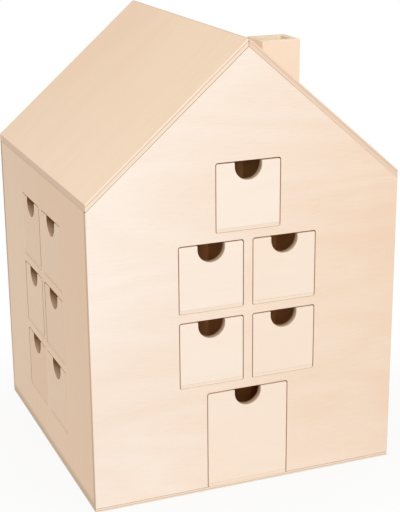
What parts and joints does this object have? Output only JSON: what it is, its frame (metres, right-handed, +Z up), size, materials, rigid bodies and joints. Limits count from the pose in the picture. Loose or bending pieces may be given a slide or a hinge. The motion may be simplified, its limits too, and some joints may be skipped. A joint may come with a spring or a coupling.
{
  "type": "wooden advent calendar",
  "caption": "Gabled plywood house with a chimney and small pull-out drawers with round finger notches on every side, an advent calendar to fill and decorate.",
  "frame": {"origin": "middle of the underside of the base panel", "axes": "+Z up, -Y out of the front gable with the tall door drawer, +X to the right seen from the front, on the chimney's side"},
  "size_m": [0.28, 0.28, 0.3916],
  "materials": {
    "shell_plywood": "bare sanded birch plywood",
    "chimney_plywood": "bare sanded birch plywood",
    "drawer_plywood": "bare sanded pale plywood",
    "cabinet_plywood": "bare sawn plywood"
  },
  "bodies": {
    "house": {"base_panel": "shell_plywood", "front_gable": "shell_plywood", "back_gable": "shell_plywood", "left_wall": "shell_plywood", "right_wall": "shell_plywood", "left_roof_panel": "shell_plywood", "right_roof_panel": "shell_plywood", "chimney_front_board": "chimney_plywood", "chimney_back_board": "chimney_plywood", "chimney_left_board": "chimney_plywood", "chimney_right_board": "chimney_plywood", "front_core_board": "cabinet_plywood", "front_door_guides": "cabinet_plywood", "front_lower_shelf": "cabinet_plywood", "front_cheeks": "cabinet_plywood", "front_upper_shelf": "cabinet_plywood", "front_dividers": "cabinet_plywood", "front_attic_shelf": "cabinet_plywood", "front_attic_guides": "cabinet_plywood", "back_core_board": "cabinet_plywood", "back_door_guides": "cabinet_plywood", "back_lower_shelf": "cabinet_plywood", "back_cheeks": "cabinet_plywood", "back_upper_shelf": "cabinet_plywood", "back_dividers": "cabinet_plywood", "back_attic_shelf": "cabinet_plywood", "back_attic_guides": "cabinet_plywood", "left_core_board": "cabinet_plywood", "left_cheeks": "cabinet_plywood", "left_shelves": "cabinet_plywood", "left_dividers": "cabinet_plywood", "right_core_board": "cabinet_plywood", "right_cheeks": "cabinet_plywood", "right_shelves": "cabinet_plywood", "right_dividers": "cabinet_plywood"},
    "front_drawer_1": {"front_drawer_1": "drawer_plywood"},
    "front_drawer_2": {"front_drawer_2": "drawer_plywood"},
    "front_drawer_3": {"front_drawer_3": "drawer_plywood"},
    "front_drawer_4": {"front_drawer_4": "drawer_plywood"},
    "front_drawer_5": {"front_drawer_5": "drawer_plywood"},
    "front_drawer_6": {"front_drawer_6": "drawer_plywood"},
    "back_drawer_1": {"back_drawer_1": "drawer_plywood"},
    "back_drawer_2": {"back_drawer_2": "drawer_plywood"},
    "back_drawer_3": {"back_drawer_3": "drawer_plywood"},
    "back_drawer_4": {"back_drawer_4": "drawer_plywood"},
    "back_drawer_5": {"back_drawer_5": "drawer_plywood"},
    "back_drawer_6": {"back_drawer_6": "drawer_plywood"},
    "left_drawer_1": {"left_drawer_1": "drawer_plywood"},
    "left_drawer_2": {"left_drawer_2": "drawer_plywood"},
    "left_drawer_3": {"left_drawer_3": "drawer_plywood"},
    "left_drawer_4": {"left_drawer_4": "drawer_plywood"},
    "left_drawer_5": {"left_drawer_5": "drawer_plywood"},
    "left_drawer_6": {"left_drawer_6": "drawer_plywood"},
    "right_drawer_1": {"right_drawer_1": "drawer_plywood"},
    "right_drawer_2": {"right_drawer_2": "drawer_plywood"},
    "right_drawer_3": {"right_drawer_3": "drawer_plywood"},
    "right_drawer_4": {"right_drawer_4": "drawer_plywood"},
    "right_drawer_5": {"right_drawer_5": "drawer_plywood"},
    "right_drawer_6": {"right_drawer_6": "drawer_plywood"}
  },
  "joints": [
    {"name": "front_drawer_1_slide", "type": "slide", "parent": "house", "child": "front_drawer_1", "axis": [0, -1, 0], "range_m": [0, 0.065]},
    {"name": "front_drawer_2_slide", "type": "slide", "parent": "house", "child": "front_drawer_2", "axis": [0, -1, 0], "range_m": [0, 0.065]},
    {"name": "front_drawer_3_slide", "type": "slide", "parent": "house", "child": "front_drawer_3", "axis": [0, -1, 0], "range_m": [0, 0.065]},
    {"name": "front_drawer_4_slide", "type": "slide", "parent": "house", "child": "front_drawer_4", "axis": [0, -1, 0], "range_m": [0, 0.065]},
    {"name": "front_drawer_5_slide", "type": "slide", "parent": "house", "child": "front_drawer_5", "axis": [0, -1, 0], "range_m": [0, 0.065]},
    {"name": "front_drawer_6_slide", "type": "slide", "parent": "house", "child": "front_drawer_6", "axis": [0, -1, 0], "range_m": [0, 0.065]},
    {"name": "back_drawer_1_slide", "type": "slide", "parent": "house", "child": "back_drawer_1", "axis": [0, 1, 0], "range_m": [0, 0.065]},
    {"name": "back_drawer_2_slide", "type": "slide", "parent": "house", "child": "back_drawer_2", "axis": [0, 1, 0], "range_m": [0, 0.065]},
    {"name": "back_drawer_3_slide", "type": "slide", "parent": "house", "child": "back_drawer_3", "axis": [0, 1, 0], "range_m": [0, 0.065]},
    {"name": "back_drawer_4_slide", "type": "slide", "parent": "house", "child": "back_drawer_4", "axis": [0, 1, 0], "range_m": [0, 0.065]},
    {"name": "back_drawer_5_slide", "type": "slide", "parent": "house", "child": "back_drawer_5", "axis": [0, 1, 0], "range_m": [0, 0.065]},
    {"name": "back_drawer_6_slide", "type": "slide", "parent": "house", "child": "back_drawer_6", "axis": [0, 1, 0], "range_m": [0, 0.065]},
    {"name": "left_drawer_1_slide", "type": "slide", "parent": "house", "child": "left_drawer_1", "axis": [-1, 0, 0], "range_m": [0, 0.065]},
    {"name": "left_drawer_2_slide", "type": "slide", "parent": "house", "child": "left_drawer_2", "axis": [-1, 0, 0], "range_m": [0, 0.065]},
    {"name": "left_drawer_3_slide", "type": "slide", "parent": "house", "child": "left_drawer_3", "axis": [-1, 0, 0], "range_m": [0, 0.065]},
    {"name": "left_drawer_4_slide", "type": "slide", "parent": "house", "child": "left_drawer_4", "axis": [-1, 0, 0], "range_m": [0, 0.065]},
    {"name": "left_drawer_5_slide", "type": "slide", "parent": "house", "child": "left_drawer_5", "axis": [-1, 0, 0], "range_m": [0, 0.065]},
    {"name": "left_drawer_6_slide", "type": "slide", "parent": "house", "child": "left_drawer_6", "axis": [-1, 0, 0], "range_m": [0, 0.065]},
    {"name": "right_drawer_1_slide", "type": "slide", "parent": "house", "child": "right_drawer_1", "axis": [1, 0, 0], "range_m": [0, 0.065]},
    {"name": "right_drawer_2_slide", "type": "slide", "parent": "house", "child": "right_drawer_2", "axis": [1, 0, 0], "range_m": [0, 0.065]},
    {"name": "right_drawer_3_slide", "type": "slide", "parent": "house", "child": "right_drawer_3", "axis": [1, 0, 0], "range_m": [0, 0.065]},
    {"name": "right_drawer_4_slide", "type": "slide", "parent": "house", "child": "right_drawer_4", "axis": [1, 0, 0], "range_m": [0, 0.065]},
    {"name": "right_drawer_5_slide", "type": "slide", "parent": "house", "child": "right_drawer_5", "axis": [1, 0, 0], "range_m": [0, 0.065]},
    {"name": "right_drawer_6_slide", "type": "slide", "parent": "house", "child": "right_drawer_6", "axis": [1, 0, 0], "range_m": [0, 0.065]}
  ]
}
